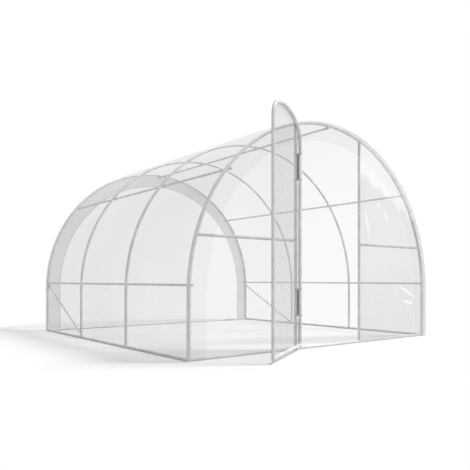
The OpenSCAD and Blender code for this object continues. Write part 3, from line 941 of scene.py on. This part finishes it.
# %% Bolts and screws
TAB_END = 0.002
SCREW_IN = 0.035
POST_SCREW_DOWN = 1.6 * SCREW_IN

clamp_x, _, clamp_z = corners("purlin_clamps").T
ridge_x, ridge_z = PURLINS[1]
RING_R = ridge_z - clamp_z[np.abs(clamp_x - ridge_x) < 2.0 * RAIL_R].min()
rail_x, rail_z = np.array(rail_ends).T
radial = np.stack([rail_x, np.zeros(len(rail_x)), rail_z - SPRING_Z], axis=1)
radial = radial / np.linalg.norm(radial, axis=1)[:, None]
rail_at = np.stack([rail_x, np.zeros(len(rail_x)), rail_z], axis=1) - RING_R * radial
clamp_spots = (rail_at[None] + HOOP_Y[:, None, None] * (0.0, 1.0, 0.0)).reshape(-1, 3)
clamp_axes = np.tile(-radial, (len(HOOP_Y), 1))

brace = corners("side_braces")
brace_ends = []
for at_end in (brace[:, 1] < brace[:, 1].min() + TAB_END, brace[:, 1] > brace[:, 1].max() - TAB_END):
    tab = brace[at_end]
    brace_ends.append([np.abs(tab[:, 0]).min(), tab[:, 2].mean()])
bolted = [(x, y, z) for (x, z), y in zip(brace_ends, HOOP_Y[[2, 3]])]
brace_spots = np.array([[side * x, y, z] for side in (-1, 1) for x, y, z in bolted])
brace_axes = -np.sign(brace_spots) * (1.0, 0.0, 0.0)
bolt_spots = np.vstack([clamp_spots, brace_spots])
bolt_axes = np.vstack([clamp_axes, brace_axes])
for kind, shape in (("washers", washer), ("bolt_heads", hex_head)):
    fitted(f"clamp_{kind}", shape, bolt_spots, bolt_axes, "tunnel", bolt_steel, "clamp_steel")

front_y = HOOP_Y[0]
arch_x = math.sqrt(HOOP_R**2 - (CROSSBAR_Z - SPRING_Z) ** 2)
screw_xz = [(POST_XS[0] - SCREW_IN, CROSSBAR_Z), (POST_XS[1] + SCREW_IN, CROSSBAR_Z)]
screw_xz += [(side * (arch_x - SCREW_IN), CROSSBAR_Z) for side in (-1, 1)]
screw_xz += [(at, SPRING_Z + math.sqrt(HOOP_R**2 - at**2) - POST_SCREW_DOWN) for at in POST_XS]
screw_spots = np.array([[at[0], front_y + TUBE_R, at[1]] for at in screw_xz])
screw_axes = np.tile((0.0, 1.0, 0.0), (len(screw_spots), 1))
COLLAR_R = POST_XS[0] - corners("lower_hinge")[:, 0].min()
collar_zs = [z for low, high in HINGE_ZS for z in (low + COLLAR_H / 2, high - COLLAR_H / 2)]
collar_spots = np.array([[POST_XS[0] - COLLAR_R, front_y, z] for z in collar_zs])
collar_axes = np.tile((-1.0, 0.0, 0.0), (len(collar_spots), 1))
fitted(
    "frame_screws", round_screw, np.vstack([screw_spots, collar_spots]), np.vstack([screw_axes, collar_axes]),
    "tunnel", bolt_steel, "clamp_steel",
)
leaf_screws = on_leaf(np.array([SCREW_IN, LEAF_W - SCREW_IN]), -np.sign(LEAF_FILM_Y) * LEAF_R, RAIL_Z)
leaf_axes = np.tile(-np.sign(LEAF_FILM_Y) * leaf_inward, (2, 1))
fitted("door_screws", round_screw, leaf_screws, leaf_axes, "door", bolt_steel, "clamp_steel")

# %% [markdown]
# Plugs close the open ends of the rails and of the leaf's stiles, and white clips hold the film on the end
# hoops. A clip is a bent strip of plastic: a part of a ring carried a short way along the hoop, on the side
# of the tube where no film lies.

# %% Plugs
rail_ys = [low_high("ridge_purlin")[0][1], low_high("ridge_purlin")[1][1]]
plug_spots = np.array([[at[0], y, at[1]] for y in rail_ys for at in rail_ends])
plug_axes = np.array([[0.0, np.sign(y), 0.0] for y in rail_ys for at in rail_ends])
rail_plug = turned([(RAIL_R, -0.001), (RAIL_R, 0.0003), (0.9 * RAIL_R, 0.0006)], 24)
fitted("rail_plugs", rail_plug, plug_spots, plug_axes, "tunnel", cap_plastic, "hinge_plastic")
stile_spots = on_leaf(np.array([0.0, LEAF_W]), 0.0, LEAF_Z0)
stile_plug = turned([(LEAF_R, -0.0002), (LEAF_R, 0.004), (0.85 * LEAF_R, 0.006)], 24)
stile_axes = np.tile((0.0, 0.0, -1.0), (2, 1))
fitted("stile_plugs", stile_plug, stile_spots, stile_axes, "door", cap_plastic, "hinge_plastic")

# %% Film clips
CLIP_L = 0.05
CLIP_T = 0.002
CLIP_OFF = 0.0002
CLIP_FROM, CLIP_TO = -60.0, 150.0
CLIP_ROWS, CLIP_SIDES = 9, 18
CLIP_PLACES = [(55.0, 0), (125.0, 0), (151.0, 3), (29.0, 3)]


def film_clip(angle, hoop_y):
    """Part of a ring round the tube, open towards the film, carried CLIP_L along the hoop about an angle."""
    spread = CLIP_L / (2.0 * HOOP_R)
    along = (math.radians(angle) + np.linspace(-spread, spread, CLIP_ROWS))[:, None]
    arc = np.radians(np.linspace(CLIP_FROM, CLIP_TO, CLIP_SIDES))
    arc = np.concatenate([arc, arc[::-1]])[None, :]
    ring = TUBE_R + np.repeat([CLIP_T, CLIP_OFF], CLIP_SIDES)[None, :]
    from_axis = HOOP_R - ring * np.cos(arc)
    y = np.broadcast_to(hoop_y - np.sign(hoop_y) * ring * np.sin(arc), (CLIP_ROWS, arc.size))
    points = np.stack([from_axis * np.cos(along), y, SPRING_Z + from_axis * np.sin(along)], axis=-1)
    ends = np.stack([np.arange(arc.size), np.arange(arc.size) + (CLIP_ROWS - 1) * arc.size])
    return points, [grid_faces(CLIP_ROWS, arc.size, round_columns=True), ends]


clip_points, clip_blocks = zip(*(film_clip(angle, HOOP_Y[hoop]) for angle, hoop in CLIP_PLACES))
clip_size = clip_points[0].shape[0] * clip_points[0].shape[1]
clip_blocks = [block + clip_size * i for i, blocks in enumerate(clip_blocks) for block in blocks]
mesh_piece(
    "film_clips", np.stack(clip_points), clip_blocks, "tunnel", clip_plastic, "hinge_plastic", solid=True,
)
